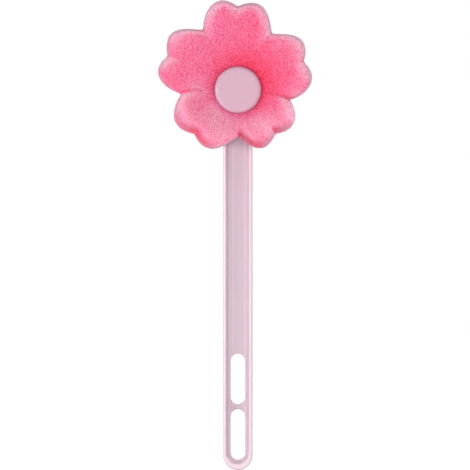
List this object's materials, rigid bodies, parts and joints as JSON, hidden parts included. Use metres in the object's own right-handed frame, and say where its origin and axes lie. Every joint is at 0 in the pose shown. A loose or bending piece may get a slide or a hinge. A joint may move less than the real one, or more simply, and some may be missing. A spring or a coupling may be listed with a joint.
{
  "type": "sponge bottle brush",
  "caption": "Flat moulded handle with hanging slots that carries a petalled foam sponge, held on by a round snap button.",
  "frame": {"origin": "lower end of the handle, on the centre line of its flat back", "axes": "+Z along the handle up to the flower, -Y out of the front through the button, +X to the right as seen from the front"},
  "size_m": [0.0898, 0.0299, 0.275],
  "materials": {
    "handle_plastic": "satin moulded polypropylene, pale mauve",
    "button_plastic": "smooth moulded polypropylene, mauve",
    "flower_foam": "open-cell polyurethane foam, pink, fine pores"
  },
  "bodies": {
    "handle": {"handle": "handle_plastic"},
    "button": {"button_cap": "button_plastic", "snap_stem": "button_plastic"},
    "sponge": {"sponge_flower": "flower_foam"}
  },
  "joints": [
    {"name": "button_pull", "type": "slide", "parent": "handle", "child": "button", "axis": [0, -1, 0], "range_m": [0, 0.04], "deforming": ["snap_stem"]},
    {"name": "sponge_lift", "type": "slide", "parent": "handle", "child": "sponge", "axis": [0, -1, 0], "range_m": [0, 0.02]}
  ],
  "couplings": [
    {"joint": "sponge_lift", "follows": "button_pull", "ratio": 0.5}
  ]
}
